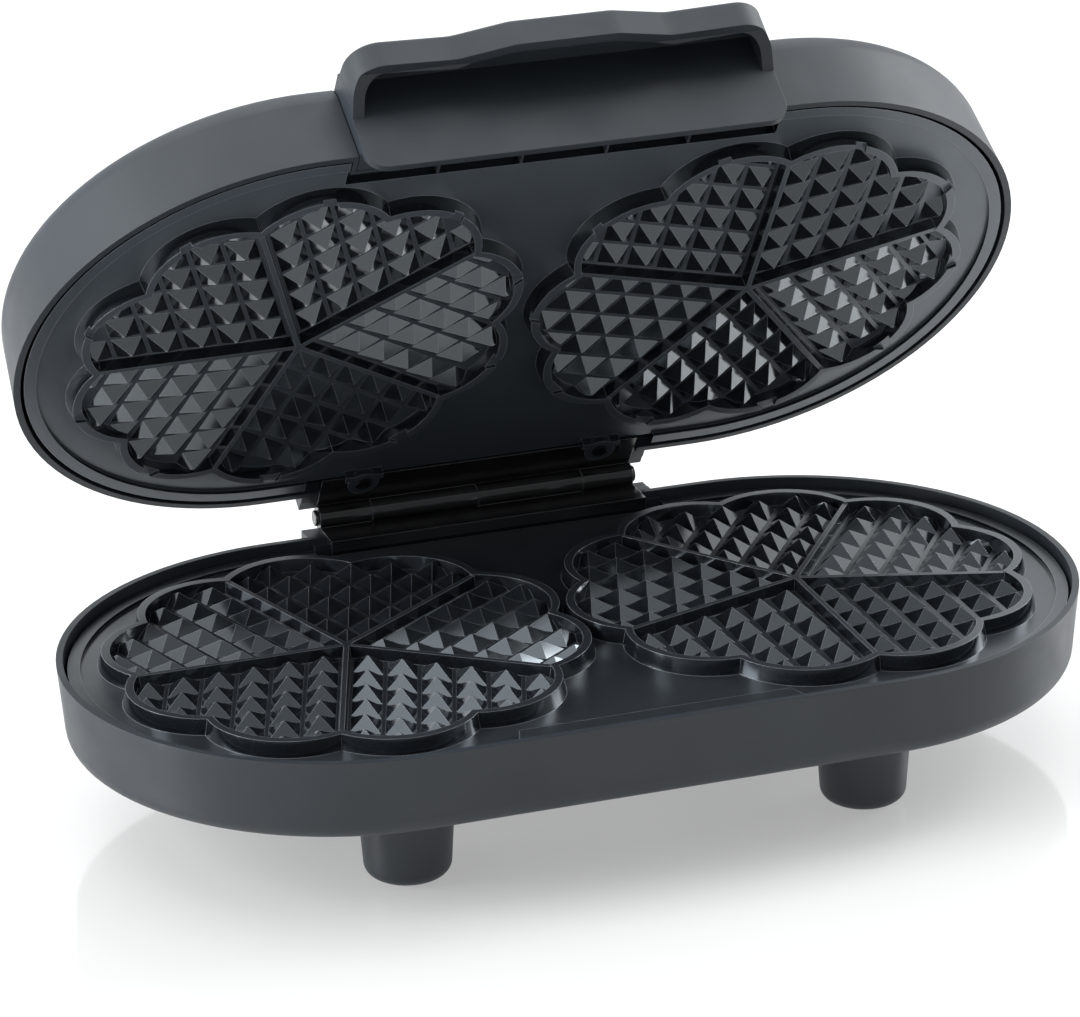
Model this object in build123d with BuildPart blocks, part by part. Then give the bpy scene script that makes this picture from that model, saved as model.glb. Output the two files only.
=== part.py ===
from build123d import *
import os
from math import cos, radians, sin

os.makedirs("parts", exist_ok=True)

# Double heart-waffle maker: a base on four feet and a lid, each holding one cast plate with two
# moulds. X runs along the length, -Y is the handle's side, +Z is up and Z = 0 is the table.
# Every piece is drawn with the lid closed. Those of the lid are then swung open by LID_ANGLE.

# ---------------------------------------------------------------- driving dimensions, mm
MOULD_X = 87.5  # half the distance between the mould centres, and between the end arcs' centres
BODY_R = 105.0  # plan radius of both housings at their rims
WALL = 2.5  # housing wall
DRAFT = 2.5  # how much the housings' radius shrinks away from the rims
BASE_ROUND = 7.0  # rounding of the lower base edge
LID_ROUND = 11.0  # rounding of the upper lid edge

PARTING = 62.5  # height at which the two rows of moulds meet
BASE_BOTTOM = PARTING - 31.5
BASE_RIM = PARTING - 0.5
LID_RIM = PARTING + 4.0
LID_TOP = PARTING + 41.5
LID_ANGLE = 55.0  # how far the lid stands open

PLATE_R = 101.0
PLATE_THICK = 4.0
LIP_WIDTH = 4.5
LIP_HEIGHT = 1.5
MOULD_GAP = 0.2  # each mould stops this far short of the parting height
MOULD_HEIGHT = 5.8  # a mould's ring above its plate
CELL_DEPTH = 5.0  # cell floor below the ring's land

LOBES = 10
HEARTS = 5
HEART_TURN = 360 / HEARTS
LOBE_TURN = 360 / LOBES
VALLEY_R = 78.5  # ring's foot between two lobes
PEAK_R = 87.0  # ring's foot at the top of a lobe
LOWER_SPREAD = 3.5  # the lower rings stand this far outside the upper ones
RING_DRAFT = 1.6
LAND_WIDTH = 3.2
INNER_DRAFT = 1.0
DIVIDER_TOP = 1.9
DIVIDER_FOOT = 3.2
DIVIDER_DROP = 0.5

STUD_PITCH = 13.0  # pyramids, measured along the dividers
STUD_GAP = 0.6
STUD_TOP = 0.5
STUD_HEIGHT = 4.5
STUD_MARGIN = 1.9  # from a divider's middle to the first row of pyramids
STUD_INSET = 5.4  # the pyramids are cut off this far inside the ring's foot

HINGE_Y = 117.0
HINGE_Z = PARTING + 2.0
PIN_R = 2.0
PIN_CLEARANCE = 0.05
KNUCKLE_R = 4.6
KNUCKLE_GAP = 0.3
LEAF_THICK = 1.5
LEAF_HALF = 64.0
KNUCKLE_SPLIT = 43.0  # outer knuckle joints, from the middle of the hinge

HUMP_HALF = 70.0
HUMP_BACK = 113.2  # where both humps end beside the knuckles
BASE_GUARD_BACK = 119.0  # the base's hump goes on under the knuckles
LID_GUARD_BACK = 117.5  # and the lid's above them
GUARD_GAP = 0.4

FOOT_X = 87.0
FOOT_Y = 67.0
FOOT_TOP_R = 17.5
FOOT_LOW_R = 15.5
FOOT_ROUND = 5.0
PAD_R = 8.0
PAD_THICK = 1.5

HANDLE_BACK = -97.0  # flat front of the lid behind the handle
HANDLE_HALF = 78.5
RECESS_HALF = HANDLE_HALF + 0.3
RECESS_WALL = 1.6
SLOT_BACK = -87.3  # straight front edge of the upper plate

BOSS_SPOTS = ((-30, -80), (30, -80), (-30, 80), (30, 80), (-174, 0), (174, 0))
BOSS_R = 4.5
BOSS_FOOT_R = 6.5
SCREW_R = 1.5
SCREW_HEAD_R = 3.0
SCREW_CLEARANCE = 0.1

HEATER_R = 52.0
HEATER_TUBE_R = 3.3
HEATER_SWEEP = 300.0
SHIELD_R = 92.0
SHIELD_THICK = 0.8

KNOB_SPOT = (0, 10)
KNOB_R = 17.0
KNOB_HEIGHT = 12.0
SHAFT_R = 3.0
LENS_SPOTS = {"power_lens": (-16, -34), "ready_lens": (16, -34)}
LENS_R = 4.0

LOWER_FACE = PARTING - MOULD_GAP - MOULD_HEIGHT
UPPER_FACE = PARTING + MOULD_GAP + MOULD_HEIGHT
LOWER_BACK = LOWER_FACE - PLATE_THICK
UPPER_BACK = UPPER_FACE + PLATE_THICK
SHIELD_LOW_Z = BASE_BOTTOM + 7.0
SHIELD_HIGH_Z = LID_TOP - 13.5
LEAF_LOW_Z = HINGE_Z - KNUCKLE_R  # underside of the base's hinge leaf
LEAF_HIGH_Z = HINGE_Z + KNUCKLE_R  # top of the lid's hinge leaf
HINGE_SCREW_X = 48.0
HINGE_SCREW_Z = 49.0
hinge_screw_spots = ((-HINGE_SCREW_X, 0), (HINGE_SCREW_X, 0))
LID_SCREW_Y = 98.5
lid_screw_spots = ((-HINGE_SCREW_X, LID_SCREW_Y), (HINGE_SCREW_X, LID_SCREW_Y))
EAR_R = 6.2
EAR_THICK = 2.4
EAR_LOW = UPPER_FACE - LEAF_HIGH_Z + LEAF_THICK + 0.1  # ears start just below the leaf

HINGE_AXIS = Axis((0, HINGE_Y, HINGE_Z), (1, 0, 0))
MIDDLE_Y = 16.063  # middle of the open machine's depth, where the part's origin lies


# ---------------------------------------------------------------- shared shapes
def polar(radius, angle):
    return (radius * cos(radians(angle)), radius * sin(radians(angle)))


def save(piece, label, on_lid=False):
    """Writes one finished piece. Those of the lid are swung open about the hinge first."""
    placed = piece.rotate(HINGE_AXIS, -LID_ANGLE) if on_lid else piece
    placed = placed.moved(Location((0, -MIDDLE_Y, 0)))
    placed.label = label
    export_step(placed, f"parts/{label}.step")


def drafted_slab(z_low, r_low, z_high, r_high, low_round=0.0, high_round=0.0):
    """Oblong block between two heights, with the radius of its round ends at each."""
    with BuildPart() as slab:
        with BuildSketch(Plane.XY.offset(z_low)):
            SlotCenterToCenter(2 * MOULD_X, 2 * r_low)
        with BuildSketch(Plane.XY.offset(z_high)):
            SlotCenterToCenter(2 * MOULD_X, 2 * r_high)
        loft()
        if low_round:
            fillet(slab.faces().sort_by(Axis.Z)[0].edges(), low_round)
        if high_round:
            fillet(slab.faces().sort_by(Axis.Z)[-1].edges(), high_round)
    return slab.part


def box_between(x0, x1, y0, y1, z0, z1):
    """Plain block between two corners."""
    with BuildPart() as block:
        with BuildSketch(Plane.XY.offset(z0)):
            with Locations(((x0 + x1) / 2, (y0 + y1) / 2)):
                Rectangle(x1 - x0, y1 - y0)
        extrude(amount=z1 - z0)
    return block.part


def lobed_face(valley, peak, turn):
    """Ten-lobed outline, one arc from valley to valley over each peak, as a face."""
    with BuildSketch() as outline:
        with BuildLine():
            for lobe in range(LOBES):
                start = turn + lobe * LOBE_TURN
                ThreePointArc(
                    polar(valley, start),
                    polar(peak, start + LOBE_TURN / 2),
                    polar(valley, start + LOBE_TURN),
                )
        make_face()
    return outline.sketch


def lobed_block(z_low, shrink_low, z_high, shrink_high, turn):
    """Lobed block whose outline is drawn in by a given amount at each of its two heights."""
    low_face = lobed_face(VALLEY_R - shrink_low, PEAK_R - shrink_low, turn)
    high_face = lobed_face(VALLEY_R - shrink_high, PEAK_R - shrink_high, turn)
    with BuildPart() as block:
        with BuildSketch(Plane.XY.offset(z_low)):
            add(low_face)
        with BuildSketch(Plane.XY.offset(z_high)):
            add(high_face)
        loft(ruled=True)
    return block.part


# ---------------------------------------------------------------- mould pattern
# One heart's pyramids stand on a skewed grid that runs along the heart's two dividers.
skew = radians(HEART_TURN)


def rhombus_points(side):
    """Corners of a rhombus with the hearts' angle, centred on the origin."""
    along = (side / 2, 0)
    across = (side / 2 * cos(skew), side / 2 * sin(skew))
    signs = ((1, 1), (-1, 1), (-1, -1), (1, -1))
    return [(a * along[0] + b * across[0], b * across[1]) for a, b in signs]


with BuildPart() as stud:
    with BuildSketch(Plane.XY.offset(-0.4)):
        with BuildLine():
            Polyline(*rhombus_points(STUD_PITCH - STUD_GAP), close=True)
        make_face()
    with BuildSketch(Plane.XY.offset(STUD_HEIGHT)):
        with BuildLine():
            Polyline(*rhombus_points(STUD_TOP), close=True)
        make_face()
    loft()


def stud_spots(reach):
    """Centres of one heart's pyramids within a radius, with its first divider along X."""
    shift = STUD_MARGIN / sin(skew) + STUD_PITCH / 2
    spots = []
    for i in range(6):
        for j in range(6):
            along = shift + i * STUD_PITCH
            across = shift + j * STUD_PITCH
            x = along + across * cos(skew)
            y = across * sin(skew)
            if (x * x + y * y) ** 0.5 < reach:
                spots.append((x, y))
    return spots


def mould_studs(turn, spread):
    """All the pyramids of one mould, cut off inside its ring."""
    inset = STUD_INSET - spread
    fence = lobed_block(-1, inset, STUD_HEIGHT + 1, inset, turn)
    with BuildPart() as heart:
        with Locations(*stud_spots(VALLEY_R + 1 + spread)):
            add(stud.part)
    with BuildPart() as field:
        with PolarLocations(0, HEARTS, start_angle=turn):
            add(heart.part)
        add(fence, mode=Mode.INTERSECT)
    return field.part


def divider(turn, spread):
    """One radial ridge between two hearts, standing on the cell floor."""
    length = VALLEY_R + spread - LAND_WIDTH
    top = CELL_DEPTH - DIVIDER_DROP
    with BuildPart() as ridge:
        with BuildSketch(Plane.XY.offset(-0.4)):
            with Locations((length / 2, 0)):
                Rectangle(length, DIVIDER_FOOT)
        with BuildSketch(Plane.XY.offset(top)):
            with Locations((length / 2, 0)):
                Rectangle(length, DIVIDER_TOP)
        loft()
    return ridge.part.rotate(Axis.Z, turn)


def mould(turn, spread, vented):
    """One ring with its cells, in its own frame: Z = 0 is the face of the plate."""
    floor = MOULD_HEIGHT - CELL_DEPTH
    ring = lobed_block(-1, -spread, MOULD_HEIGHT, RING_DRAFT - spread, turn)
    inner_high = RING_DRAFT + LAND_WIDTH - spread
    cells = lobed_block(floor, inner_high + INNER_DRAFT, MOULD_HEIGHT + 0.01, inner_high, turn)
    studs = mould_studs(turn, spread).moved(Location((0, 0, floor)))
    ridges = [
        divider(turn + k * HEART_TURN, spread).moved(Location((0, 0, floor))) for k in range(HEARTS)
    ]
    with BuildPart() as block:
        add(ring)
        add(cells, mode=Mode.SUBTRACT)
        add(studs)
        for ridge in ridges:
            add(ridge)
        if vented:
            # A wedge-shaped steam vent through the land at the top of each lobe.
            land = PEAK_R - RING_DRAFT - LAND_WIDTH / 2
            for lobe in range(LOBES):
                angle = turn + (lobe + 0.5) * LOBE_TURN
                with BuildSketch(Plane.XY.offset(MOULD_HEIGHT - 1.4)):
                    with Locations(Location((*polar(land, angle), 0), (0, 0, angle - 90))):
                        Trapezoid(8.5, LAND_WIDTH + 2.4, 66)
                extrude(amount=2, mode=Mode.SUBTRACT)
    return block.part


def cooking_plate(upper):
    """Cast plate with two moulds, facing +Z with its flat face at Z = 0."""
    spread = 0 if upper else LOWER_SPREAD
    left = mould(180, spread, vented=upper).moved(Location((-MOULD_X, 0, 0)))
    right = mould(270, spread, vented=upper).moved(Location((MOULD_X, 0, 0)))
    with BuildPart() as plate:
        with BuildSketch(Plane.XY.offset(-PLATE_THICK)):
            SlotCenterToCenter(2 * MOULD_X, 2 * PLATE_R)
        extrude(amount=PLATE_THICK + LIP_HEIGHT)
        with BuildSketch():
            SlotCenterToCenter(2 * MOULD_X, 2 * (PLATE_R - LIP_WIDTH))
        extrude(amount=LIP_HEIGHT, mode=Mode.SUBTRACT)
        if upper:
            # Straight front edge behind the handle's slot.
            with BuildSketch(Plane.XY.offset(-PLATE_THICK - 1)):
                with Locations((0, SLOT_BACK - 10)):
                    Rectangle(2 * (RECESS_HALF + RECESS_WALL) + 1, 20)
            extrude(amount=10, mode=Mode.SUBTRACT)
        else:
            # Straight bar at the middle of the front, under the handle's slot.
            with BuildSketch():
                with BuildLine():
                    Polyline((-54, -97), (54, -97), (51, -87), (-51, -87), close=True)
                make_face()
            extrude(amount=LIP_HEIGHT)
        # Straight back edge in front of the hinge leaf.
        with BuildSketch(Plane.XY.offset(-PLATE_THICK - 1)):
            with Locations((0, 106.5)):
                Rectangle(2 * HUMP_HALF + 1, 20)
        extrude(amount=10, mode=Mode.SUBTRACT)
        add(left)
        add(right)
        if upper:
            # Ears at the back edge, each with a seat for a screw's head.
            with BuildSketch(Plane.XY.offset(EAR_LOW)):
                with Locations(*lid_screw_spots):
                    Circle(EAR_R)
            extrude(amount=EAR_THICK)
            with BuildSketch(Plane.XY.offset(-1)):
                with Locations(*[(x, 95) for x, y in lid_screw_spots]):
                    Rectangle(15, 3)
            extrude(amount=EAR_LOW + EAR_THICK + 1)
            with BuildSketch(Plane.XY.offset(EAR_LOW + EAR_THICK)):
                with Locations(*lid_screw_spots):
                    Circle(SCREW_HEAD_R + 0.4)
            extrude(amount=-1, mode=Mode.SUBTRACT)
            with BuildSketch(Plane.XY.offset(EAR_LOW + EAR_THICK)):
                with Locations(*lid_screw_spots):
                    Circle(SCREW_R + SCREW_CLEARANCE)
            extrude(amount=-EAR_THICK, mode=Mode.SUBTRACT)
        else:
            # Blind holes for the screws that hold the plate from below.
            with BuildSketch(Plane.XY.offset(-PLATE_THICK)):
                with Locations(*BOSS_SPOTS):
                    Circle(SCREW_R + SCREW_CLEARANCE)
            extrude(amount=PLATE_THICK - 1, mode=Mode.SUBTRACT)
    return plate.part


# ---------------------------------------------------------------- the two plates
lower_plate = cooking_plate(upper=False).moved(Location((0, 0, LOWER_FACE)))
save(lower_plate, "lower_plate")

upper_plate = cooking_plate(upper=True).mirror(Plane.XY).moved(Location((0, 0, UPPER_FACE)))
save(upper_plate, "upper_plate", on_lid=True)

# ---------------------------------------------------------------- base housing
base_outer = drafted_slab(BASE_BOTTOM, BODY_R - DRAFT, BASE_RIM, BODY_R, low_round=BASE_ROUND)
base_inner = drafted_slab(
    BASE_BOTTOM + WALL,
    BODY_R - DRAFT - WALL,
    BASE_RIM + 1,
    BODY_R - WALL,
    low_round=BASE_ROUND - WALL,
)
HUMP_FRONT = 99.8
HUMP_LOW = 45.0
HUMP_HIGH = 84.5
base_hump = box_between(-HUMP_HALF, HUMP_HALF, HUMP_FRONT, HUMP_BACK, HUMP_LOW, LEAF_LOW_Z)
base_guard = box_between(
    -HUMP_HALF, HUMP_HALF, HUMP_BACK - 1, BASE_GUARD_BACK, HUMP_LOW, LEAF_LOW_Z - GUARD_GAP
)
GLAND_X = 79.0
GLAND_Z = 45.0
GLAND_R = 5.5
gland_plane = Plane((GLAND_X, 60, GLAND_Z), x_dir=(1, 0, 0), z_dir=(0, 1, 0))

with BuildPart() as base_housing:
    add(base_outer)
    add(base_inner, mode=Mode.SUBTRACT)
    add(base_hump)
    add(base_guard)
    # The leaf's way through the rim.
    with BuildSketch(Plane.XY.offset(LEAF_LOW_Z)):
        with Locations((0, 106)):
            Rectangle(2 * LEAF_HALF + 1, 20)
    extrude(amount=10, mode=Mode.SUBTRACT)
    # Screw bosses, with a shoulder that carries the heat shield.
    with BuildSketch(Plane.XY.offset(BASE_BOTTOM + 1)):
        with Locations(*BOSS_SPOTS):
            Circle(BOSS_FOOT_R)
    extrude(amount=SHIELD_LOW_Z - BASE_BOTTOM - 1)
    with BuildSketch(Plane.XY.offset(BASE_BOTTOM + 1)):
        with Locations(*BOSS_SPOTS):
            Circle(BOSS_R)
    extrude(amount=LOWER_BACK - BASE_BOTTOM - 1)
    # Screw holes and their countersunk pockets in the underside.
    with BuildSketch(Plane.XY.offset(BASE_BOTTOM - 1)):
        with Locations(*BOSS_SPOTS):
            Circle(SCREW_R + SCREW_CLEARANCE)
    extrude(amount=LOWER_BACK - BASE_BOTTOM + 2, mode=Mode.SUBTRACT)
    with BuildSketch(Plane.XY.offset(BASE_BOTTOM - 1)):
        with Locations(*BOSS_SPOTS):
            Circle(SCREW_HEAD_R + 0.4)
    extrude(amount=5, mode=Mode.SUBTRACT)
    # Cooling slots in the underside.
    with BuildSketch(Plane.XY.offset(BASE_BOTTOM - 1)):
        with GridLocations(120, 0, 2, 1):
            with GridLocations(0, 9, 1, 7):
                SlotOverall(46, 4)
    extrude(amount=6, mode=Mode.SUBTRACT)
    # Seats for the four feet.
    with BuildSketch(Plane.XY.offset(BASE_BOTTOM - 1)):
        with GridLocations(2 * FOOT_X, 2 * FOOT_Y, 2, 2):
            Circle(4.1)
    extrude(amount=5, mode=Mode.SUBTRACT)
    # Cord opening in the rear wall.
    with BuildSketch(gland_plane):
        Circle(GLAND_R + 0.1)
    extrude(amount=60, mode=Mode.SUBTRACT)
    # Pilot holes for the hinge screws, from inside.
    with BuildSketch(Plane((0, 90, HINGE_SCREW_Z), x_dir=(1, 0, 0), z_dir=(0, 1, 0))):
        with Locations(*hinge_screw_spots):
            Circle(SCREW_R + SCREW_CLEARANCE)
    extrude(amount=19, mode=Mode.SUBTRACT)
save(base_housing.part, "base_housing")

# ---------------------------------------------------------------- feet
for side_x, name_x in ((-1, "left"), (1, "right")):
    for side_y, name_y in ((-1, "front"), (1, "rear")):
        spot = (side_x * FOOT_X, side_y * FOOT_Y)
        with BuildPart() as foot:
            with BuildSketch(Plane((*spot, PAD_THICK - 0.5))):
                Circle(FOOT_LOW_R)
            with BuildSketch(Plane((*spot, BASE_BOTTOM))):
                Circle(FOOT_TOP_R)
            loft()
            fillet(foot.faces().sort_by(Axis.Z)[0].edges(), FOOT_ROUND)
            # Spigot that snaps into the housing.
            with BuildSketch(Plane((*spot, BASE_BOTTOM))):
                Circle(4)
            extrude(amount=2.4)
            # Recess for the rubber pad.
            with BuildSketch(Plane((*spot, 0))):
                Circle(PAD_R + 0.1)
            extrude(amount=PAD_THICK + 0.5, mode=Mode.SUBTRACT)
        save(foot.part, f"foot_{name_y}_{name_x}")

with BuildPart() as foot_pads:
    with BuildSketch():
        with GridLocations(2 * FOOT_X, 2 * FOOT_Y, 2, 2):
            Circle(PAD_R)
    extrude(amount=PAD_THICK + 0.5)
    chamfer(foot_pads.faces().group_by(Axis.Z)[0].edges(), 0.5)
save(foot_pads.part, "foot_pads")

# ---------------------------------------------------------------- lid housing
lid_outer = drafted_slab(LID_RIM, BODY_R, LID_TOP, BODY_R - DRAFT, high_round=LID_ROUND)
lid_inner = drafted_slab(
    LID_RIM - 1,
    BODY_R - WALL,
    LID_TOP - WALL,
    BODY_R - DRAFT - WALL,
    high_round=LID_ROUND - WALL,
)


def handle_recess(grow):
    """Straight-sided recess for the handle in the front of the lid, grown by a wall."""
    half = RECESS_HALF + grow
    return box_between(-half, half, -BODY_R - 40, HANDLE_BACK + grow, LID_RIM - 2, LID_TOP + 2)


recess_cut = handle_recess(0)
recess_wall = handle_recess(RECESS_WALL)
lid_cavity = lid_inner - recess_wall
lid_hump = box_between(-HUMP_HALF, HUMP_HALF, HUMP_FRONT, HUMP_BACK, LEAF_HIGH_Z, HUMP_HIGH)
lid_guard = box_between(
    -HUMP_HALF, HUMP_HALF, HUMP_BACK - 1, LID_GUARD_BACK, LEAF_HIGH_Z + GUARD_GAP, HUMP_HIGH
)
RIB_X = (-47, -16, 16, 47)
HANDLE_SCREW_X = (-56, 0, 56)
HANDLE_SCREW_Z = 82.5

with BuildPart() as lid_housing:
    add(lid_outer)
    add(recess_cut, mode=Mode.SUBTRACT)
    add(lid_cavity, mode=Mode.SUBTRACT)
    add(lid_hump)
    add(lid_guard)
    # The leaf's way through the rim.
    with BuildSketch(Plane.XY.offset(LID_RIM - 1)):
        with Locations((0, 106)):
            Rectangle(2 * LEAF_HALF + 1, 20)
    extrude(amount=LEAF_HIGH_Z - LID_RIM + 1, mode=Mode.SUBTRACT)
    # Bosses that the hinge leaf is screwed to, cut away around the plate's back edge.
    with BuildSketch(Plane.XY.offset(LEAF_HIGH_Z)):
        with Locations(*lid_screw_spots):
            Circle(5)
    extrude(amount=12)
    with BuildSketch(Plane.XY.offset(LEAF_HIGH_Z - 1)):
        with Locations((0, 91.8)):
            Rectangle(2 * HUMP_HALF, 10)
    extrude(amount=UPPER_BACK + 1.2 - LEAF_HIGH_Z, mode=Mode.SUBTRACT)
    with BuildSketch(Plane.XY.offset(LEAF_HIGH_Z - 1)):
        with Locations(*lid_screw_spots):
            Circle(SCREW_R + SCREW_CLEARANCE)
    extrude(amount=11, mode=Mode.SUBTRACT)
    # Ledge that closes the slot between the flat front and the plate, and ribs across the slot.
    slot_middle = (HANDLE_BACK + SLOT_BACK) / 2 + 0.5
    with BuildSketch(Plane.XY.offset(UPPER_BACK + 0.3)):
        with Locations((0, slot_middle + 2)):
            Rectangle(2 * RECESS_HALF, SLOT_BACK - HANDLE_BACK + 3)
    extrude(amount=1.6)
    with BuildSketch(Plane.XY.offset(LID_RIM + 2)):
        with Locations(*[(x, slot_middle) for x in RIB_X]):
            Rectangle(0.9, SLOT_BACK - HANDLE_BACK - 1.6)
    extrude(amount=UPPER_BACK - LID_RIM - 1)
    # Posts that the plate rests against, with a shoulder that carries the heat shield.
    with BuildSketch(Plane.XY.offset(SHIELD_HIGH_Z)):
        with Locations(*BOSS_SPOTS):
            Circle(BOSS_FOOT_R)
    extrude(amount=LID_TOP - SHIELD_HIGH_Z - 1)
    with BuildSketch(Plane.XY.offset(UPPER_BACK)):
        with Locations(*BOSS_SPOTS):
            Circle(BOSS_R)
    extrude(amount=LID_TOP - UPPER_BACK - 1)
    # Openings for the thermostat's shaft and the two lenses.
    with BuildSketch(Plane.XY.offset(LID_TOP - WALL - 1)):
        with Locations(KNOB_SPOT):
            Circle(SHAFT_R + 0.6)
        with Locations(*LENS_SPOTS.values()):
            Circle(LENS_R + 0.1)
    extrude(amount=WALL + 2, mode=Mode.SUBTRACT)
    # Shallow dish around the knob.
    with BuildSketch(Plane.XY.offset(LID_TOP - 0.8)):
        with Locations(KNOB_SPOT):
            Circle(KNOB_R + 3)
    extrude(amount=2, mode=Mode.SUBTRACT)
    # Clearance holes for the handle's screws.
    with BuildSketch(Plane((0, -100, HANDLE_SCREW_Z), x_dir=(1, 0, 0), z_dir=(0, 1, 0))):
        with Locations(*[(x, 0) for x in HANDLE_SCREW_X]):
            Circle(SCREW_R + SCREW_CLEARANCE)
    extrude(amount=10, mode=Mode.SUBTRACT)
save(lid_housing.part, "lid_housing", on_lid=True)

# ---------------------------------------------------------------- handle
HANDLE_FRONT = -110.0
HANDLE_SKIN = 2.6
PANEL_BOTTOM = PARTING - 5.5
HANDLE_TOP = PARTING + 37.5
HOOD_RIM = HANDLE_TOP - 11.5
HOOD_CEILING = HANDLE_TOP - 4.2
HOOD_FRONT = -129.6
HOOD_WALL = 4.2
GUSSET_LOW = PARTING + 16.0  # where the hood's end walls meet the panel
HANDLE_BOSS_R = 4.5


def hood_face():
    """Plan of the hood, with a wavy front that bulges in the middle."""
    right_half = (
        (19, HOOD_FRONT),
        (40, -125),
        (HANDLE_HALF - 1.5, -126.6),
        (HANDLE_HALF, HANDLE_FRONT),
        (HANDLE_HALF, HANDLE_BACK - 0.4),
    )
    left_half = [(-x, y) for x, y in reversed(right_half)]
    with BuildSketch() as plan:
        with BuildLine():
            Polyline(*left_half, *right_half, close=True)
        make_face()
        fillet(plan.vertices().filter_by_position(Axis.Y, -127, -126), 12)
        fillet(plan.vertices().filter_by_position(Axis.Y, -125.5, -124.5), 16)
        fillet(plan.vertices().filter_by_position(Axis.Y, -130, -129), 16)
    return plan.sketch


hood_plan = hood_face()
hood_inside = offset(hood_plan, amount=-HOOD_WALL)

with BuildPart() as handle:
    with BuildSketch(Plane.XY.offset(HOOD_RIM)):
        add(hood_plan)
    extrude(amount=HANDLE_TOP - HOOD_RIM)
    fillet(handle.faces().sort_by(Axis.Z)[-1].edges().filter_by_position(Axis.Y, -131, -107), 1.6)
    # End walls that run down to the panel.
    with BuildSketch(Plane((-HANDLE_HALF, 0, 0), x_dir=(0, 1, 0), z_dir=(1, 0, 0))):
        with BuildLine():
            Polyline(
                (HANDLE_FRONT + 1, GUSSET_LOW),
                (HANDLE_FRONT + 1, HOOD_RIM),
                (-122, HOOD_RIM),
                close=True,
            )
        make_face()
    extrude(amount=2 * HANDLE_HALF)
    with BuildSketch(Plane.XY.offset(GUSSET_LOW - 1)) as around:
        Rectangle(200, 300)
        add(hood_plan, mode=Mode.SUBTRACT)
    extrude(amount=HOOD_RIM - GUSSET_LOW + 1, mode=Mode.SUBTRACT)
    # Finger hollow behind the hood.
    with BuildSketch(Plane.XY.offset(GUSSET_LOW - 1)):
        add(hood_inside)
        with Locations((0, HANDLE_FRONT + 25)):
            Rectangle(200, 50, mode=Mode.SUBTRACT)
    extrude(amount=HOOD_CEILING - GUSSET_LOW + 1, mode=Mode.SUBTRACT)
    # Box that sits in the lid's recess, open at its back.
    with BuildSketch(Plane.XY.offset(LID_RIM)):
        with Locations((0, (HANDLE_FRONT + HANDLE_BACK - 0.4) / 2)):
            Rectangle(2 * HANDLE_HALF, HANDLE_BACK - 0.4 - HANDLE_FRONT)
    extrude(amount=HANDLE_TOP - LID_RIM)
    # Panel that also covers the joint between lid and base.
    with BuildSketch(Plane((0, HANDLE_FRONT, 0), x_dir=(1, 0, 0), z_dir=(0, -1, 0))):
        with Locations((0, (PANEL_BOTTOM + GUSSET_LOW) / 2)):
            Rectangle(2 * HANDLE_HALF, GUSSET_LOW - PANEL_BOTTOM)
        fillet(vertices().group_by(Axis.Z)[0], 8)
    extrude(amount=-HANDLE_SKIN)
    inner_depth = HANDLE_BACK - HANDLE_FRONT - HANDLE_SKIN
    with BuildSketch(Plane.XY.offset(LID_RIM + HANDLE_SKIN)):
        with Locations((0, HANDLE_BACK - inner_depth / 2)):
            Rectangle(2 * (HANDLE_HALF - HANDLE_SKIN), inner_depth)
    extrude(amount=HANDLE_TOP - LID_RIM - 2 * HANDLE_SKIN, mode=Mode.SUBTRACT)
    # Bosses for the screws that come from inside the lid.
    boss_plane = Plane((0, HANDLE_BACK - 0.4, HANDLE_SCREW_Z), x_dir=(1, 0, 0), z_dir=(0, -1, 0))
    with BuildSketch(boss_plane):
        with Locations(*[(x, 0) for x in HANDLE_SCREW_X]):
            Circle(HANDLE_BOSS_R)
    extrude(amount=inner_depth)
    with BuildSketch(boss_plane):
        with Locations(*[(x, 0) for x in HANDLE_SCREW_X]):
            Circle(SCREW_R + SCREW_CLEARANCE)
    extrude(amount=inner_depth - 1, mode=Mode.SUBTRACT)
save(handle.part, "handle", on_lid=True)


# ---------------------------------------------------------------- fasteners
def screws(head_plane, spots, length, head_thick=1.8):
    """Cross-head screws whose heads stand on a plane, with their shanks running along its -Z."""
    with BuildPart() as group:
        with BuildSketch(head_plane):
            with Locations(*spots):
                Circle(SCREW_HEAD_R)
        extrude(amount=head_thick)
        with BuildSketch(head_plane):
            with Locations(*spots):
                Circle(SCREW_R)
        extrude(amount=-length)
        with BuildSketch(head_plane.offset(head_thick - 0.7)):
            with Locations(*spots):
                Rectangle(3.6, 0.8)
                Rectangle(0.8, 3.6)
        extrude(amount=0.8, mode=Mode.SUBTRACT)
    return group.part


lower_seat = Plane((0, 0, BASE_BOTTOM + 4), x_dir=(1, 0, 0), z_dir=(0, 0, -1))
lower_length = LOWER_BACK + 2.5 - BASE_BOTTOM - 4
save(screws(lower_seat, [(x, -y) for x, y in BOSS_SPOTS], lower_length, 2.2), "lower_plate_screws")
ear_seat = Plane(
    (0, 0, UPPER_FACE - EAR_LOW - EAR_THICK + 1), x_dir=(1, 0, 0), z_dir=(0, 0, -1)
)
ear_spots = [(x, -y) for x, y in lid_screw_spots]
save(screws(ear_seat, ear_spots, 11, 1.6), "upper_plate_screws", on_lid=True)
handle_seat = Plane(
    (0, HANDLE_BACK + RECESS_WALL, HANDLE_SCREW_Z), x_dir=(-1, 0, 0), z_dir=(0, 1, 0)
)
save(screws(handle_seat, [(x, 0) for x in HANDLE_SCREW_X], 8, 1.4), "handle_screws", on_lid=True)

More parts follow.
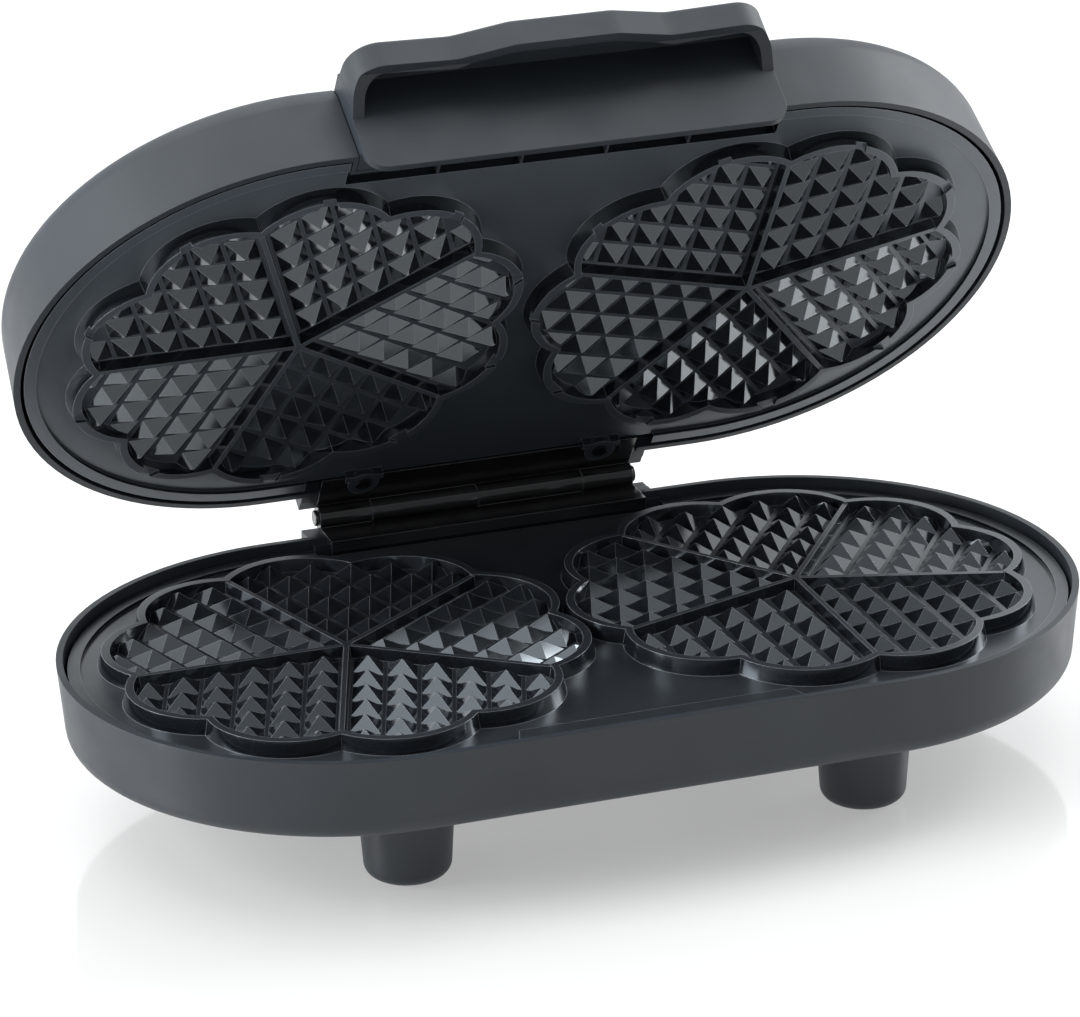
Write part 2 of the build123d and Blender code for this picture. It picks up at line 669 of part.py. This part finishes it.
# ---------------------------------------------------------------- hinge
knuckle_cuts = (-LEAF_HALF, -KNUCKLE_SPLIT, 0, KNUCKLE_SPLIT, LEAF_HALF)
base_knuckles = (0, 2)
lid_knuckles = (1, 3)
FINGER_FRONT = HINGE_Y - 3.85  # keeps the leaf 0.35 clear of the other leaf's knuckles


def hinge_leaf(knuckles, leaf_z):
    """Flat leaf with its share of the knuckles, bored for the pin."""
    with BuildPart() as leaf:
        for k in knuckles:
            low = knuckle_cuts[k] + KNUCKLE_GAP / 2
            high = knuckle_cuts[k + 1] - KNUCKLE_GAP / 2
            with BuildSketch(Plane((low, HINGE_Y, HINGE_Z), x_dir=(0, 1, 0), z_dir=(1, 0, 0))):
                Circle(KNUCKLE_R)
            extrude(amount=high - low)
            with BuildSketch(Plane.XY.offset(leaf_z)):
                with Locations(((low + high) / 2, (FINGER_FRONT - 2 + HINGE_Y) / 2)):
                    Rectangle(high - low, HINGE_Y - FINGER_FRONT + 2)
            extrude(amount=LEAF_THICK)
        with BuildSketch(Plane.XY.offset(leaf_z)):
            with Locations((0, (97 + FINGER_FRONT) / 2)):
                Rectangle(2 * LEAF_HALF - KNUCKLE_GAP, FINGER_FRONT - 97)
        extrude(amount=LEAF_THICK)
        with BuildSketch(Plane((-LEAF_HALF - 1, HINGE_Y, HINGE_Z), (0, 1, 0), (1, 0, 0))):
            Circle(PIN_R + PIN_CLEARANCE)
        extrude(amount=2 * LEAF_HALF + 2, mode=Mode.SUBTRACT)
    return leaf.part


FLANGE_BACK = 99.7
FLANGE_LOW = 45.5
FLANGE_FRONT = FLANGE_BACK - LEAF_THICK
with BuildPart() as base_leaf:
    add(hinge_leaf(base_knuckles, LEAF_LOW_Z))
    # Cut back to the flange that runs down the inside of the rear wall.
    with BuildSketch(Plane.XY.offset(LEAF_LOW_Z)):
        with Locations((0, FLANGE_FRONT - 5)):
            Rectangle(2 * LEAF_HALF, 10)
    extrude(amount=LEAF_THICK, mode=Mode.SUBTRACT)
    with BuildSketch(Plane.XY.offset(FLANGE_LOW)):
        with Locations((0, (FLANGE_FRONT + FLANGE_BACK) / 2)):
            Rectangle(2 * LEAF_HALF - KNUCKLE_GAP, LEAF_THICK)
    extrude(amount=LEAF_LOW_Z + LEAF_THICK - FLANGE_LOW)
    with BuildSketch(Plane((0, 90, HINGE_SCREW_Z), x_dir=(1, 0, 0), z_dir=(0, 1, 0))):
        with Locations(*hinge_screw_spots):
            Circle(SCREW_R + SCREW_CLEARANCE)
    extrude(amount=12, mode=Mode.SUBTRACT)
save(base_leaf.part, "base_hinge_leaf")

with BuildPart() as lid_leaf:
    add(hinge_leaf(lid_knuckles, LEAF_HIGH_Z - LEAF_THICK))
    with BuildSketch(Plane.XY.offset(LEAF_HIGH_Z - LEAF_THICK - 1)):
        with Locations(*lid_screw_spots):
            Circle(SCREW_R + SCREW_CLEARANCE)
    extrude(amount=LEAF_THICK + 2, mode=Mode.SUBTRACT)
save(lid_leaf.part, "lid_hinge_leaf", on_lid=True)

with BuildPart() as hinge_pin:
    with BuildSketch(Plane((-LEAF_HALF - 1.2, HINGE_Y, HINGE_Z), (0, 1, 0), (1, 0, 0))):
        Circle(PIN_R)
    extrude(amount=2 * LEAF_HALF + 2.4)
    for side in (-1, 1):
        with BuildSketch(Plane((side * (LEAF_HALF + 0.2), HINGE_Y, HINGE_Z), (0, 1, 0), (side, 0, 0))):
            Circle(PIN_R + 1.1)
        extrude(amount=1.2)
    fillet(hinge_pin.edges().group_by(Axis.X)[0], 0.5)
    fillet(hinge_pin.edges().group_by(Axis.X)[-1], 0.5)
save(hinge_pin.part, "hinge_pin")

flange_seat = Plane((0, FLANGE_FRONT, HINGE_SCREW_Z), x_dir=(1, 0, 0), z_dir=(0, -1, 0))
save(screws(flange_seat, hinge_screw_spots, 9.5, 1.4), "base_hinge_screws")


# ---------------------------------------------------------------- heating
def heaters(height, middle_angle):
    """Two tubular heating elements, each an open ring behind a mould."""
    gap = 360 - HEATER_SWEEP
    with BuildPart() as pair:
        for side in (-1, 1):
            middle = middle_angle if side > 0 else 180 - middle_angle
            turn = Location((side * MOULD_X, 0, height), (0, 0, middle + gap / 2))
            with BuildSketch(Plane(turn) * Plane.XZ):
                with Locations((HEATER_R, 0)):
                    Circle(HEATER_TUBE_R)
            revolve(axis=Axis((side * MOULD_X, 0, 0), (0, 0, 1)), revolution_arc=HEATER_SWEEP)
    return pair.part


HEATER_LOW_Z = LOWER_BACK - HEATER_TUBE_R - 0.1
HEATER_HIGH_Z = UPPER_BACK + HEATER_TUBE_R + 0.1
save(heaters(HEATER_LOW_Z, 180), "lower_heating_elements")
save(heaters(HEATER_HIGH_Z, 180), "upper_heating_elements", on_lid=True)


def heat_shield(z_flat, wall_height):
    """Thin pan that keeps the heat off the housing, with holes around the bosses."""
    direction = 1 if wall_height > 0 else -1
    with BuildPart() as shield:
        with BuildSketch(Plane.XY.offset(z_flat)):
            SlotCenterToCenter(2 * MOULD_X, 2 * SHIELD_R)
        extrude(amount=wall_height)
        with BuildSketch(Plane.XY.offset(z_flat + direction * SHIELD_THICK)):
            SlotCenterToCenter(2 * MOULD_X, 2 * (SHIELD_R - SHIELD_THICK))
        extrude(amount=wall_height, mode=Mode.SUBTRACT)
        with BuildSketch(Plane.XY.offset(z_flat - 2)):
            with Locations(*BOSS_SPOTS):
                Circle(BOSS_R + 0.3)
        extrude(amount=4, mode=Mode.SUBTRACT)
    return shield.part


save(heat_shield(SHIELD_LOW_Z, 10), "lower_heat_shield")
save(heat_shield(SHIELD_HIGH_Z, -12), "upper_heat_shield", on_lid=True)

# ---------------------------------------------------------------- electrical pieces
with BuildPart() as terminal_block:
    with BuildSketch(Plane.XY.offset(SHIELD_LOW_Z + SHIELD_THICK)):
        with Locations((0, 0)):
            Rectangle(40, 16)
    extrude(amount=11)
    with BuildSketch(Plane.XY.offset(SHIELD_LOW_Z + SHIELD_THICK + 11)):
        with GridLocations(12, 0, 3, 1):
            Circle(2)
    extrude(amount=-6, mode=Mode.SUBTRACT)
save(terminal_block.part, "terminal_block")

# The gland's tail, inner collar, neck through the wall and outer flange: start, end and radius.
GLAND_STEPS = ((92, 96.4, GLAND_R), (96.4, 100, 7), (100, 104.6, GLAND_R), (104.6, 107, 7))
GLAND_MOUTH_Y = GLAND_STEPS[-1][1]
CORD_HOLE_R = 3.3
CORD_HOLE_DEPTH = 10.0
with BuildPart() as cord_gland:
    for y_start, y_end, radius in GLAND_STEPS:
        with BuildSketch(Plane((GLAND_X, y_start, GLAND_Z), (1, 0, 0), (0, 1, 0))):
            Circle(radius)
        extrude(amount=y_end - y_start)
    chamfer(cord_gland.edges().sort_by(Axis.Y)[-1], 0.6)
    with BuildSketch(Plane((GLAND_X, GLAND_MOUTH_Y, GLAND_Z), (1, 0, 0), (0, 1, 0))):
        Circle(CORD_HOLE_R)
    extrude(amount=-CORD_HOLE_DEPTH, mode=Mode.SUBTRACT)
save(cord_gland.part, "cord_gland")

with BuildPart() as thermostat:
    with BuildSketch(Plane.XY.offset(SHIELD_HIGH_Z + 1)):
        with Locations(KNOB_SPOT):
            Rectangle(30, 22)
    extrude(amount=6.5)
    fillet(thermostat.edges().filter_by(Axis.Z), 3)
    with BuildSketch(Plane.XY.offset(SHIELD_HIGH_Z + 7.5)):
        with Locations(KNOB_SPOT):
            Circle(6)
            Circle(SHAFT_R + 0.06, mode=Mode.SUBTRACT)
    extrude(amount=2.2)
save(thermostat.part, "thermostat", on_lid=True)

with BuildPart() as bracket:
    with BuildSketch(Plane.XY.offset(SHIELD_HIGH_Z)):
        with Locations(KNOB_SPOT):
            RectangleRounded(58, 26, 5)
    extrude(amount=1)
save(bracket.part, "thermostat_bracket", on_lid=True)

with BuildPart() as thermal_fuse:
    with BuildSketch(Plane((-9, 40, UPPER_BACK + 2.6), (0, 1, 0), (1, 0, 0))):
        Circle(2.5)
    extrude(amount=18)
save(thermal_fuse.part, "thermal_fuse", on_lid=True)

with BuildPart() as lamps:
    with BuildSketch(Plane.XY.offset(SHIELD_HIGH_Z)):
        with Locations(*LENS_SPOTS.values()):
            Circle(2.6)
    extrude(amount=8)
save(lamps.part, "indicator_lamps", on_lid=True)

for name, spot in LENS_SPOTS.items():
    with BuildPart() as lens:
        with BuildSketch(Plane((*spot, LID_TOP - WALL - 1.2))):
            Circle(LENS_R + 1.2)
        extrude(amount=1.2)
        with BuildSketch(Plane((*spot, LID_TOP - WALL))):
            Circle(LENS_R)
        extrude(amount=WALL + 1)
        fillet(lens.faces().sort_by(Axis.Z)[-1].edges(), 0.9)
    save(lens.part, name, on_lid=True)

# ---------------------------------------------------------------- knob
with BuildPart() as shaft:
    with BuildSketch(Plane.XY.offset(SHIELD_HIGH_Z + 7.6)):
        with Locations(KNOB_SPOT):
            Circle(SHAFT_R)
    extrude(amount=14)
save(shaft.part, "thermostat_shaft", on_lid=True)

KNOB_LOW = LID_TOP - 0.4
with BuildPart() as knob:
    with BuildSketch(Plane((*KNOB_SPOT, KNOB_LOW))):
        Circle(KNOB_R)
    with BuildSketch(Plane((*KNOB_SPOT, KNOB_LOW + KNOB_HEIGHT))):
        Circle(KNOB_R - 2)
    loft()
    fillet(knob.faces().sort_by(Axis.Z)[-1].edges(), 1.5)
    with BuildSketch(Plane((*KNOB_SPOT, KNOB_LOW + KNOB_HEIGHT))):
        with Locations((0, -9)):
            SlotOverall(9, 1.8, rotation=90)
    extrude(amount=-1, mode=Mode.SUBTRACT)
    # Finger notches around the rim.
    with BuildSketch(Plane((*KNOB_SPOT, KNOB_LOW + 3))):
        with PolarLocations(KNOB_R + 1.2, 20):
            Circle(1.8)
    extrude(amount=KNOB_HEIGHT, mode=Mode.SUBTRACT)
    with BuildSketch(Plane((*KNOB_SPOT, KNOB_LOW))):
        Circle(SHAFT_R + 0.02)
    extrude(amount=LID_TOP - KNOB_LOW + 8.2, mode=Mode.SUBTRACT)
save(knob.part, "control_knob", on_lid=True)
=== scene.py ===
import math

import bpy
from mathutils import Matrix, Vector

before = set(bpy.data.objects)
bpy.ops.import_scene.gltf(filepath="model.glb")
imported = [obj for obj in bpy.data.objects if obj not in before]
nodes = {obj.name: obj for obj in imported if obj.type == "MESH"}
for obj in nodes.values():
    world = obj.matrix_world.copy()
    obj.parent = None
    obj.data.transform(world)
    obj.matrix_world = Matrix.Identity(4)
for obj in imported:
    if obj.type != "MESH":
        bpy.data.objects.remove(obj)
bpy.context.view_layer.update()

MM = 0.001


# ---------------------------------------------------------------- node helpers
class Material:
    """One procedural material, with short calls for the nodes that the others share."""

    def __init__(self, name):
        self.data = bpy.data.materials.new(name)
        self.data.use_nodes = True
        self.tree = self.data.node_tree
        self.shader = self.tree.nodes["Principled BSDF"]

    def node(self, kind, **settings):
        made = self.tree.nodes.new(kind)
        for key, value in settings.items():
            setattr(made, key, value)
        return made

    def link(self, source, target):
        self.tree.links.new(source, target)

    def set(self, **values):
        """Sets values on the shader's own sockets, named with underscores for spaces."""
        for key, value in values.items():
            self.shader.inputs[key.replace("_", " ")].default_value = value

    def colour(self, source):
        self.link(source, self.shader.inputs["Base Color"])

    def roughness(self, source):
        self.link(source, self.shader.inputs["Roughness"])

    def place(self):
        """Object coordinates in metres, which don't move when the object turns."""
        return self.node("ShaderNodeTexCoord").outputs["Object"]

    def stretched(self, scale):
        """Object coordinates scaled by a different amount along each axis."""
        mapping = self.node("ShaderNodeMapping")
        mapping.inputs["Scale"].default_value = scale
        self.link(self.place(), mapping.inputs["Vector"])
        return mapping.outputs["Vector"]

    def noise(self, size, detail, vector=None):
        """Noise whose lumps measure about size metres."""
        made = self.node("ShaderNodeTexNoise")
        made.inputs["Scale"].default_value = 1.0 / size
        made.inputs["Detail"].default_value = detail
        self.link(vector or self.place(), made.inputs["Vector"])
        return made.outputs["Fac"]

    def remap(self, value, low, high, start=0.0, end=1.0):
        """Maps start..end of a value to low..high."""
        made = self.node("ShaderNodeMapRange")
        made.inputs["From Min"].default_value = start
        made.inputs["From Max"].default_value = end
        made.inputs["To Min"].default_value = low
        made.inputs["To Max"].default_value = high
        self.link(value, made.inputs["Value"])
        return made.outputs["Result"]

    def patches(self, size, detail, low=0.0, high=1.0, start=0.3, end=0.7):
        """Soft patches of about size metres, whose value runs from low to high."""
        return self.remap(self.noise(size, detail), low, high, start, end)

    def blend(self, factor, first, second):
        """Mixes two colours, each a colour or another node's output."""
        made = self.node("ShaderNodeMix", data_type="RGBA")
        self.link(factor, made.inputs["Factor"])
        for value, slot in ((first, "A"), (second, "B")):
            socket = [s for s in made.inputs if s.name == slot and s.type == "RGBA"][0]
            if isinstance(value, tuple):
                socket.default_value = (*value, 1.0)
            else:
                self.link(value, socket)
        return [s for s in made.outputs if s.type == "RGBA"][0]

    def add(self, first, second):
        made = self.node("ShaderNodeMath", operation="ADD")
        self.link(first, made.inputs[0])
        self.link(second, made.inputs[1])
        return made.outputs["Value"]

    def facing(self, direction, start, end):
        """1 where the surface faces a direction of the object's own frame, 0 where it leans away.
        The value changes while their dot product runs from start to end."""
        dot = self.node("ShaderNodeVectorMath", operation="DOT_PRODUCT")
        self.link(self.node("ShaderNodeTexCoord").outputs["Normal"], dot.inputs[0])
        dot.inputs[1].default_value = direction
        return self.remap(dot.outputs["Value"], 0.0, 1.0, start, end)

    def edges(self, reach):
        """1 within reach metres of an edge, where a surface wears first and where the coating's edges
        get a painted highlight, and 0 elsewhere.
        """
        bevel = self.node("ShaderNodeBevel", samples=4)
        bevel.inputs["Radius"].default_value = reach
        dot = self.node("ShaderNodeVectorMath", operation="DOT_PRODUCT")
        self.link(bevel.outputs["Normal"], dot.inputs[0])
        self.link(self.node("ShaderNodeNewGeometry").outputs["Normal"], dot.inputs[1])
        return self.remap(dot.outputs["Value"], 1.0, 0.0, 0.85, 0.99)

    def bump(self, layers, rounding=0.0):
        """Stacks bumps, each a height, its strength and its depth in metres, on edges that look
        rounded by rounding metres."""
        normal = None
        if rounding:
            bevel = self.node("ShaderNodeBevel", samples=4)
            bevel.inputs["Radius"].default_value = rounding
            normal = bevel.outputs["Normal"]
        for height, strength, depth in layers:
            made = self.node("ShaderNodeBump")
            made.inputs["Strength"].default_value = strength
            made.inputs["Distance"].default_value = depth
            self.link(height, made.inputs["Height"])
            if normal:
                self.link(normal, made.inputs["Normal"])
            normal = made.outputs["Normal"]
        self.link(normal, self.shader.inputs["Normal"])


def shaded(colour, factor):
    """A colour made darker or lighter."""
    return tuple(factor * channel for channel in colour)


def to_node(material, *names):
    """Gives CAD nodes their material."""
    for name in names:
        nodes[name].data.materials.clear()
        nodes[name].data.materials.append(material.data)


# ---------------------------------------------------------------- colours, as linear RGB
SLATE = (0.023, 0.0295, 0.0375)
CHARCOAL = (0.022, 0.022, 0.024)

# The non-stick coating. A pair is its darkest and its lightest shade. The flats' pairs are painted
# light: the flats are painted lighter than the slopes, and the upper plate's flats much lighter than
# the lower plate's.
LOWER_FLATS_PAINTED_LIGHT = ((0.016, 0.019, 0.023), (0.021, 0.0245, 0.029))
UPPER_FLATS_PAINTED_LIGHT = ((0.05, 0.059, 0.07), (0.06, 0.07, 0.083))
SLOPES = ((0.008, 0.0095, 0.012), (0.012, 0.014, 0.018))
COATING_FLECK = (0.05, 0.054, 0.06)
# The coating's edges: partly rubbed wear, partly a painted highlight along the mould edges.
COATING_EDGE_WEAR_AND_HIGHLIGHT = (0.3, 0.32, 0.35)
COATING_SHEEN = (0.84, 0.93, 1.0, 1.0)

STEEL_COAT = ((0.008, 0.008, 0.009), (0.018, 0.018, 0.02))
STEEL_EDGE = (0.3, 0.31, 0.33)
ALUMINIUM = (0.78, 0.78, 0.79)
TURNED_STEEL = (0.6, 0.6, 0.61)
BLACK_ZINC = (0.1, 0.1, 0.105)
STRAW_TINT = (0.22, 0.19, 0.16)
BLUE_TINT = (0.12, 0.12, 0.16)
RUBBER = (0.012, 0.012, 0.012)
RUBBER_DUST = (0.05, 0.048, 0.045)
GLAZE = ((0.72, 0.69, 0.62), (0.82, 0.8, 0.74))
RED_LENS = (0.6, 0.02, 0.015)
GREEN_LENS = (0.03, 0.5, 0.1)
LAMP_GLASS = (0.85, 0.8, 0.7)
FLOOR = ((0.55, 0.54, 0.53), (0.57, 0.56, 0.55))
WHITE = (1.0, 1.0, 1.0, 1.0)
DAYLIGHT = (0.955, 0.98, 1.0)  # the studio's light leans slightly to blue


# ---------------------------------------------------------------- materials
def moulded_plastic(name, colour, rough):
    """Matt spark-eroded plastic: fine grain, faint flow clouds and edges rubbed a little lighter."""
    made = Material(name)
    rounding = 0.35 * MM
    tinted = made.blend(made.patches(0.06, 4), shaded(colour, 0.88), shaded(colour, 1.1))
    made.colour(made.blend(made.edges(rounding), tinted, shaded(colour, 1.5)))
    made.roughness(made.patches(0.02, 5, rough - 0.05, rough + 0.06))
    pores = made.noise(1.3 * MM, 3)
    grain = made.noise(0.45 * MM, 2)
    made.bump([(pores, 0.10, 0.10 * MM), (grain, 0.22, 0.05 * MM)], rounding)
    made.set(IOR=1.5)
    return made


def non_stick(name, facing, flats):
    """Sprayed non-stick coating on cast aluminium. It is satin where the plate is flat, facing along
    facing, between two greys that are painted lighter than the slopes as painted light, and glossy
    black on every slope, with edges painted light, partly rubbed wear and partly a painted highlight."""
    made = Material(name)
    # The flats that face along facing get the lighter colours: painted light, the coating itself is
    # one colour.
    flat = made.facing(facing, 0.95, 0.99)
    clouds = made.patches(0.05, 3, start=0.35, end=0.65)
    coat = made.blend(flat, made.blend(clouds, *SLOPES), made.blend(clouds, *flats))
    flecks = made.patches(0.35 * MM, 1, start=0.68, end=0.74)
    flecked = made.blend(flecks, coat, COATING_FLECK)
    # Edges painted light: partly rubbed wear, partly a painted highlight.
    made.colour(made.blend(made.edges(0.4 * MM), flecked, COATING_EDGE_WEAR_AND_HIGHLIGHT))
    smears = made.patches(0.015, 4, -0.02, 0.04)
    made.roughness(made.add(made.remap(flat, 0.1, 0.32), smears))
    peel = made.noise(1.2 * MM, 2)
    grit = made.noise(0.3 * MM, 2)
    made.bump([(peel, 0.05, 0.04 * MM), (grit, 0.08, 0.03 * MM)], 0.15 * MM)
    made.set(IOR=1.85, Specular_Tint=COATING_SHEEN)
    return made


def coated_steel(name):
    """Black sheet steel for the hinge, with bare metal showing on rubbed edges."""
    made = Material(name)
    rounding = 0.3 * MM
    coat = made.blend(made.patches(0.01, 4), *STEEL_COAT)
    made.colour(made.blend(made.edges(rounding), coat, STEEL_EDGE))
    made.roughness(made.patches(0.006, 5, 0.12, 0.2))
    made.bump([(made.noise(0.5 * MM, 2), 0.06, 0.03 * MM)], rounding)
    made.set(IOR=1.9)
    return made


def bare_metal(name, colour, rough, stretch):
    """Drawn or rolled metal with dull spots, and with fine lines along the axis of the smallest
    stretch."""
    made = Material(name)
    dull = made.patches(0.008, 4, start=0.35)
    made.colour(made.blend(dull, colour, shaded(colour, 0.7)))
    lines = made.noise(0.3 * MM, 3, made.stretched(stretch))
    made.roughness(made.remap(lines, rough, rough + 0.15, 0.3, 0.7))
    made.bump([(lines, 0.2, 0.02 * MM)], 0.2 * MM)
    made.set(Metallic=1.0)
    return made


def heater_steel(name):
    """Steel tube of a heating element, tinted straw and blue by its heat."""
    made = Material(name)
    heat = made.patches(0.018, 3, start=0.35, end=0.65)
    made.colour(made.blend(heat, STRAW_TINT, BLUE_TINT))
    made.roughness(made.patches(0.004, 4, 0.35, 0.5))
    made.bump([(made.noise(0.6 * MM, 3), 0.2, 0.03 * MM)])
    made.set(Metallic=1.0)
    return made


def pad_rubber(name):
    """Soft rubber with dust in its pores."""
    made = Material(name)
    dust = made.patches(1.2 * MM, 4, start=0.55, end=0.75)
    made.colour(made.blend(dust, RUBBER, RUBBER_DUST))
    made.roughness(made.remap(dust, 0.75, 0.95))
    made.bump([(made.noise(0.7 * MM, 3), 0.3, 0.1 * MM)])
    return made


def glazed_ceramic(name):
    """Cream glazed ceramic with fine pits."""
    made = Material(name)
    clouds = made.patches(0.006, 4)
    made.colour(made.blend(clouds, *GLAZE))
    made.roughness(made.remap(clouds, 0.2, 0.35))
    made.bump([(made.noise(0.8 * MM, 2), 0.2, 0.04 * MM)], 0.2 * MM)
    return made


def tinted_lens(name, colour):
    """Translucent coloured plastic of a lamp's lens."""
    made = Material(name)
    made.colour(made.blend(made.patches(0.002, 2), colour, shaded(colour, 0.6)))
    made.roughness(made.remap(made.noise(0.001, 3), 0.08, 0.16))
    made.bump([(made.noise(0.6 * MM, 1), 0.1, 0.02 * MM)], 0.2 * MM)
    made.set(Transmission_Weight=0.55, IOR=1.49)
    return made


slate = moulded_plastic("slate_plastic", SLATE, 0.46)
to_node(slate, "base_housing", "lid_housing", "handle")
to_node(slate, "foot_front_left", "foot_front_right", "foot_rear_left", "foot_rear_right")
black = moulded_plastic("black_plastic", CHARCOAL, 0.42)
to_node(black, "control_knob", "cord_gland", "thermostat")

# The direction in which each plate's flats face while the lid stands open at rest.
LID_ANGLE = math.radians(55)
lower_face = (0, 0, 1)
upper_face = (0, -math.sin(LID_ANGLE), -math.cos(LID_ANGLE))
# The upper plate's flats are painted much lighter than the lower plate's: painted light.
to_node(non_stick("lower_non_stick", lower_face, LOWER_FLATS_PAINTED_LIGHT), "lower_plate")
to_node(non_stick("upper_non_stick", upper_face, UPPER_FLATS_PAINTED_LIGHT), "upper_plate")

to_node(coated_steel("hinge_steel"), "base_hinge_leaf", "lid_hinge_leaf", "hinge_pin")
to_node(heater_steel("heater_steel"), "lower_heating_elements", "upper_heating_elements")

# Bare metals, with their lines along X, along Z or along no axis.
rolled = bare_metal("rolled_aluminium", ALUMINIUM, 0.28, (0.05, 1, 1))
to_node(rolled, "lower_heat_shield", "upper_heat_shield")
turned = bare_metal("turned_steel", TURNED_STEEL, 0.22, (1, 1, 0.05))
to_node(turned, "thermostat_shaft", "thermostat_bracket")
dark_zinc = bare_metal("black_zinc", BLACK_ZINC, 0.25, (1, 1, 1))
to_node(dark_zinc, "upper_plate_screws", "lower_plate_screws", "base_hinge_screws", "handle_screws")

to_node(pad_rubber("pad_rubber"), "foot_pads")
to_node(glazed_ceramic("ceramic"), "terminal_block", "thermal_fuse")
to_node(tinted_lens("red_lens", RED_LENS), "power_lens")
to_node(tinted_lens("green_lens", GREEN_LENS), "ready_lens")
to_node(tinted_lens("lamp_glass", LAMP_GLASS), "indicator_lamps")


# ---------------------------------------------------------------- studio
FLOOR_HALF = 4.0
AIM = (0, 0, 0.12)  # what the softboxes face
# Each softbox's name, place, width and height, and power in watts.
SOFTBOXES = (
    ("overhead", (0.0, 0.5, 1.6), (2.4, 1.6), 15),
    ("left", (-1.5, 0.1, 0.6), (0.6, 1.2), 23),
    ("right", (1.5, 0.3, 0.7), (0.6, 1.2), 20),
)
LIGHT_BEHIND = 1.07
LIGHT_BEFORE = 0.18


def floor_material():
    """Pale acrylic sheet, lit faintly from below, that gives a soft reflection."""
    made = Material("pale_floor")
    made.colour(made.blend(made.patches(0.5, 3), *FLOOR))
    made.roughness(made.patches(0.08, 4, 0.06, 0.10))
    made.set(IOR=1.75, Emission_Color=WHITE, Emission_Strength=0.36)
    return made


def add_floor():
    mesh = bpy.data.meshes.new("floor")
    corners = [(x * FLOOR_HALF, y * FLOOR_HALF, 0) for x, y in ((-1, -1), (1, -1), (1, 1), (-1, 1))]
    mesh.from_pydata(corners, [], [(0, 1, 2, 3)])
    floor = bpy.data.objects.new("floor", mesh)
    bpy.context.scene.collection.objects.link(floor)
    mesh.materials.append(floor_material().data)


def add_softbox(name, place, size, power):
    """Rectangular area light that faces the object."""
    data = bpy.data.lights.new(name, "AREA")
    data.shape = "RECTANGLE"
    data.size, data.size_y = size
    data.energy = power
    data.color = DAYLIGHT
    lamp = bpy.data.objects.new(name, data)
    turned = (Vector(AIM) - Vector(place)).to_track_quat("-Z", "Y").to_matrix().to_4x4()
    lamp.matrix_world = Matrix.Translation(place) @ turned
    bpy.context.scene.collection.objects.link(lamp)


def add_world():
    """White surroundings, bright behind the object and dimmer on the camera's side."""
    world = bpy.data.worlds.new("studio")
    world.use_nodes = True
    tree = world.node_tree
    heading = tree.nodes.new("ShaderNodeSeparateXYZ")
    tree.links.new(tree.nodes.new("ShaderNodeTexCoord").outputs["Generated"], heading.inputs["Vector"])
    level = tree.nodes.new("ShaderNodeMapRange")
    level.interpolation_type = "SMOOTHSTEP"
    level.inputs["From Min"].default_value = -0.8
    level.inputs["From Max"].default_value = 0.2
    level.inputs["To Min"].default_value = LIGHT_BEFORE
    level.inputs["To Max"].default_value = LIGHT_BEHIND
    tree.links.new(heading.outputs["Y"], level.inputs["Value"])
    tree.links.new(level.outputs["Result"], tree.nodes["Background"].inputs["Strength"])
    tree.nodes["Background"].inputs["Color"].default_value = (*DAYLIGHT, 1)
    bpy.context.scene.world = world


# The camera looks down at the open side from the front left, with a long lens.
CAMERA_TURN = math.radians(-18.386)
CAMERA_RISE = math.radians(21.456)
CAMERA_ROLL = math.radians(-1.22)
CAMERA_DISTANCE = 1.7399
CAMERA_TARGET = Vector((-0.01484, -0.016063, 0.1035))
CAMERA_LENS = 159.6
CAMERA_SENSOR = 36
CAMERA_SHIFT = (0.0055, 0.0012)


def add_camera():
    back = Vector(
        (
            math.sin(CAMERA_TURN) * math.cos(CAMERA_RISE),
            -math.cos(CAMERA_TURN) * math.cos(CAMERA_RISE),
            math.sin(CAMERA_RISE),
        )
    )
    level = Vector((math.cos(CAMERA_TURN), math.sin(CAMERA_TURN), 0))
    right = level * math.cos(CAMERA_ROLL) + back.cross(level) * math.sin(CAMERA_ROLL)
    up = back.cross(right)
    data = bpy.data.cameras.new("camera")
    data.lens = CAMERA_LENS
    data.sensor_width = CAMERA_SENSOR
    data.shift_x, data.shift_y = CAMERA_SHIFT
    camera = bpy.data.objects.new("camera", data)
    turned = Matrix((right, up, back)).transposed().to_4x4()
    camera.matrix_world = Matrix.Translation(CAMERA_TARGET + back * CAMERA_DISTANCE) @ turned
    bpy.context.scene.collection.objects.link(camera)
    bpy.context.scene.camera = camera


add_floor()
add_camera()
add_world()
for name, place, size, power in SOFTBOXES:
    add_softbox(name, place, size, power)
# The standard view keeps the floor white and the dark plastic deep.
bpy.context.scene.view_settings.view_transform = "Standard"
